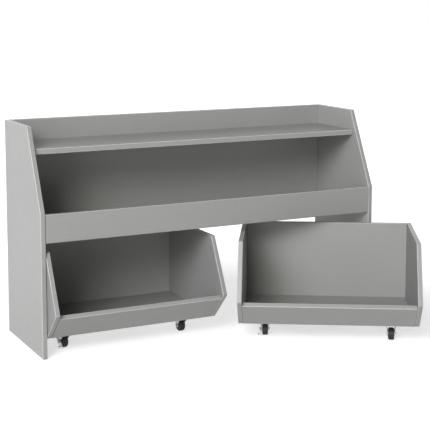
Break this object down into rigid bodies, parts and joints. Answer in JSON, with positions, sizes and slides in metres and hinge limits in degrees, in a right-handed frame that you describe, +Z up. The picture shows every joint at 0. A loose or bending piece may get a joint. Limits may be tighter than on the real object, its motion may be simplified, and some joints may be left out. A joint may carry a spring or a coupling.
{
  "type": "toy storage organizer with bins",
  "caption": "Low open toy cabinet with a sloped front, shelf tray, deep cubby and open bay that holds rolling bins on swivel casters.",
  "frame": {"origin": "middle of the floor area that the cabinet and both bins cover as stored, on the floor", "axes": "+X to the right seen from the front, along the cabinet, +Y to the back, +Z up"},
  "size_m": [1.2912, 0.8224, 0.706],
  "materials": {
    "painted_board": "light grey satin paint on wood board",
    "zinc": "zinc plated",
    "tyre": "black rubber with a fine tread",
    "hub": "dark grey moulded plastic"
  },
  "bodies": {
    "cabinet": {"left_side_panel": "painted_board", "right_side_panel": "painted_board", "top_shelf": "painted_board", "middle_shelf": "painted_board", "front_rail": "painted_board", "back_panel": "painted_board", "cabinet_cams": "zinc", "cabinet_cam_bolts": "zinc"},
    "left_bin": {"left_bin_left_side": "painted_board", "left_bin_right_side": "painted_board", "left_bin_back": "painted_board", "left_bin_floor": "painted_board", "left_bin_front": "painted_board", "left_bin_screws": "zinc", "left_bin_plate_screws": "zinc", "left_bin_caster_plates": "zinc", "left_bin_kingpins": "zinc"},
    "right_bin": {"right_bin_left_side": "painted_board", "right_bin_right_side": "painted_board", "right_bin_back": "painted_board", "right_bin_floor": "painted_board", "right_bin_front": "painted_board", "right_bin_screws": "zinc", "right_bin_plate_screws": "zinc", "right_bin_caster_plates": "zinc", "right_bin_kingpins": "zinc"},
    "left_bin_front_left_caster": {"left_bin_front_left_fork": "zinc", "left_bin_front_left_axle": "zinc"},
    "left_bin_front_left_wheel": {"left_bin_front_left_tyre": "tyre", "left_bin_front_left_hub": "hub"},
    "left_bin_front_left_brake": {"left_bin_front_left_brake": "zinc"},
    "left_bin_front_right_caster": {"left_bin_front_right_fork": "zinc", "left_bin_front_right_axle": "zinc"},
    "left_bin_front_right_wheel": {"left_bin_front_right_tyre": "tyre", "left_bin_front_right_hub": "hub"},
    "left_bin_rear_left_caster": {"left_bin_rear_left_fork": "zinc", "left_bin_rear_left_axle": "zinc"},
    "left_bin_rear_left_wheel": {"left_bin_rear_left_tyre": "tyre", "left_bin_rear_left_hub": "hub"},
    "left_bin_rear_right_caster": {"left_bin_rear_right_fork": "zinc", "left_bin_rear_right_axle": "zinc"},
    "left_bin_rear_right_wheel": {"left_bin_rear_right_tyre": "tyre", "left_bin_rear_right_hub": "hub"},
    "right_bin_front_left_caster": {"right_bin_front_left_fork": "zinc", "right_bin_front_left_axle": "zinc"},
    "right_bin_front_left_wheel": {"right_bin_front_left_tyre": "tyre", "right_bin_front_left_hub": "hub"},
    "right_bin_front_left_brake": {"right_bin_front_left_brake": "zinc"},
    "right_bin_front_right_caster": {"right_bin_front_right_fork": "zinc", "right_bin_front_right_axle": "zinc"},
    "right_bin_front_right_wheel": {"right_bin_front_right_tyre": "tyre", "right_bin_front_right_hub": "hub"},
    "right_bin_rear_left_caster": {"right_bin_rear_left_fork": "zinc", "right_bin_rear_left_axle": "zinc"},
    "right_bin_rear_left_wheel": {"right_bin_rear_left_tyre": "tyre", "right_bin_rear_left_hub": "hub"},
    "right_bin_rear_right_caster": {"right_bin_rear_right_fork": "zinc", "right_bin_rear_right_axle": "zinc"},
    "right_bin_rear_right_wheel": {"right_bin_rear_right_tyre": "tyre", "right_bin_rear_right_hub": "hub"}
  },
  "joints": [
    {"name": "left_bin_roll", "type": "slide", "parent": "cabinet", "child": "left_bin", "axis": [0, -1, 0], "range_m": [0, 0.065]},
    {"name": "right_bin_roll", "type": "slide", "parent": "cabinet", "child": "right_bin_front_right_caster", "axis": [-0.509, -0.8607, 0], "range_m": [0, 0.5]},
    {"name": "right_bin_turn", "type": "hinge", "parent": "right_bin_front_right_caster", "child": "right_bin", "pos_m": [0.43693, -0.22882, 0.05], "axis": [0, 0, 1], "range_deg": [-15, 27]},
    {"name": "left_bin_front_left_swivel", "type": "hinge", "parent": "left_bin", "child": "left_bin_front_left_caster", "pos_m": [-0.5435, 0.14496, 0.05], "axis": [0, 0, 1], "continuous": true},
    {"name": "left_bin_front_left_spin", "type": "hinge", "parent": "left_bin_front_left_caster", "child": "left_bin_front_left_wheel", "pos_m": [-0.54569, 0.15879, 0.02], "axis": [0.9877, 0.1564, 0], "continuous": true},
    {"name": "left_bin_front_left_brake_lift", "type": "hinge", "parent": "left_bin_front_left_caster", "child": "left_bin_front_left_brake", "pos_m": [-0.54569, 0.15879, 0.02], "axis": [-0.9877, -0.1564, 0], "range_deg": [0, 20]},
    {"name": "left_bin_front_right_swivel", "type": "hinge", "parent": "left_bin", "child": "left_bin_front_right_caster", "pos_m": [-0.1355, 0.14496, 0.05], "axis": [0, 0, 1], "continuous": true},
    {"name": "left_bin_front_right_spin", "type": "hinge", "parent": "left_bin_front_right_caster", "child": "left_bin_front_right_wheel", "pos_m": [-0.13599, 0.15895, 0.02], "axis": [0.9994, 0.0349, 0], "continuous": true},
    {"name": "left_bin_rear_left_swivel", "type": "hinge", "parent": "left_bin", "child": "left_bin_rear_left_caster", "pos_m": [-0.5435, 0.32696, 0.05], "axis": [0, 0, 1], "continuous": true},
    {"name": "left_bin_rear_left_spin", "type": "hinge", "parent": "left_bin_rear_left_caster", "child": "left_bin_rear_left_wheel", "pos_m": [-0.54497, 0.34088, 0.02], "axis": [0.9945, 0.1045, 0], "continuous": true},
    {"name": "left_bin_rear_right_swivel", "type": "hinge", "parent": "left_bin", "child": "left_bin_rear_right_caster", "pos_m": [-0.1355, 0.32696, 0.05], "axis": [0, 0, 1], "continuous": true},
    {"name": "left_bin_rear_right_spin", "type": "hinge", "parent": "left_bin_rear_right_caster", "child": "left_bin_rear_right_wheel", "pos_m": [-0.13648, 0.34092, 0.02], "axis": [0.9976, 0.0698, 0], "continuous": true},
    {"name": "right_bin_front_left_swivel", "type": "hinge", "parent": "right_bin", "child": "right_bin_front_left_caster", "pos_m": [0.08575, -0.02113, 0.05], "axis": [0, 0, 1], "continuous": true},
    {"name": "right_bin_front_left_spin", "type": "hinge", "parent": "right_bin_front_left_caster", "child": "right_bin_front_left_wheel", "pos_m": [0.09287, -0.00908, 0.02], "axis": [0.8607, -0.509, 0], "continuous": true},
    {"name": "right_bin_front_left_brake_lift", "type": "hinge", "parent": "right_bin_front_left_caster", "child": "right_bin_front_left_brake", "pos_m": [0.09287, -0.00908, 0.02], "axis": [-0.8607, 0.509, 0], "range_deg": [0, 20]},
    {"name": "right_bin_front_right_spin", "type": "hinge", "parent": "right_bin_front_right_caster", "child": "right_bin_front_right_wheel", "pos_m": [0.4298, -0.24087, 0.02], "axis": [-0.8607, 0.509, 0], "continuous": true},
    {"name": "right_bin_rear_left_swivel", "type": "hinge", "parent": "right_bin", "child": "right_bin_rear_left_caster", "pos_m": [0.17839, 0.13553, 0.05], "axis": [0, 0, 1], "continuous": true},
    {"name": "right_bin_rear_left_spin", "type": "hinge", "parent": "right_bin_rear_left_caster", "child": "right_bin_rear_left_wheel", "pos_m": [0.18488, 0.14793, 0.02], "axis": [0.8862, -0.4633, 0], "continuous": true},
    {"name": "right_bin_rear_right_swivel", "type": "hinge", "parent": "right_bin", "child": "right_bin_rear_right_caster", "pos_m": [0.52957, -0.07216, 0.05], "axis": [0, 0, 1], "continuous": true},
    {"name": "right_bin_rear_right_spin", "type": "hinge", "parent": "right_bin_rear_right_caster", "child": "right_bin_rear_right_wheel", "pos_m": [0.52183, -0.08382, 0.02], "axis": [-0.8329, 0.5534, 0], "continuous": true}
  ]
}
